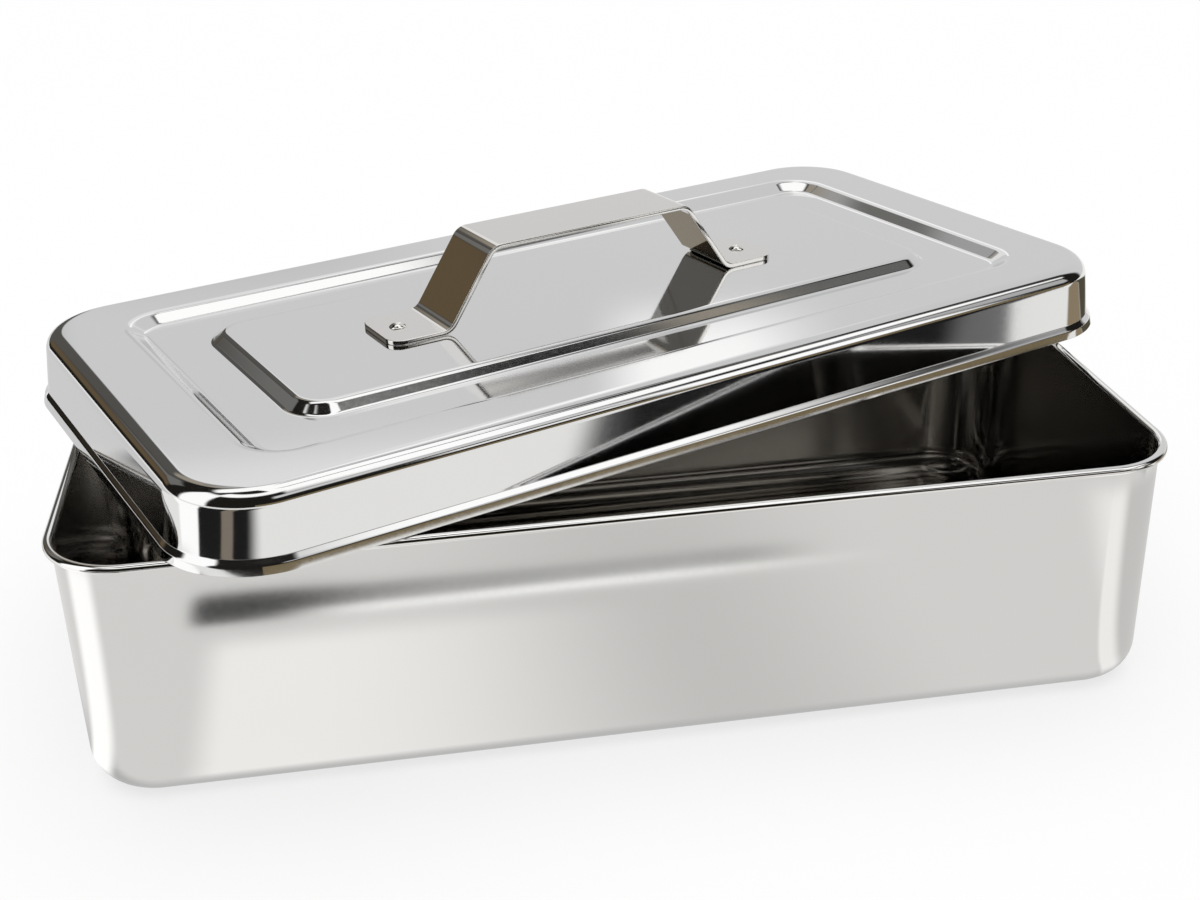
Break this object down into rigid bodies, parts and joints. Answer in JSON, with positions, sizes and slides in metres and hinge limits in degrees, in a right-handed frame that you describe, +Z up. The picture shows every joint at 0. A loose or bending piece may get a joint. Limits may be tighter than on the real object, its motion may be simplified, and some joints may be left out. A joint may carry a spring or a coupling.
{
  "type": "sterilizer box",
  "caption": "Rectangular stainless steel sterilizer box: a drawn pan with a rolled rim, and a pressed lid with a bent strip handle, lying askew on the rim.",
  "frame": {"origin": "under the middle of the pan's floor, on the surface that the pan stands on", "axes": "+Z up, +X along the pan's long side, +Y away from the side that the picture shows"},
  "size_m": [0.3314, 0.25, 0.117],
  "materials": {
    "pan_steel": "polished stainless steel",
    "lid_steel": "polished stainless steel",
    "handle_steel": "mirror-polished stainless steel",
    "rivet_steel": "polished stainless steel"
  },
  "bodies": {
    "root": {"box_body": "pan_steel", "lid": "lid_steel", "handle": "handle_steel", "handle_rivets": "rivet_steel"}
  },
  "joints": []
}
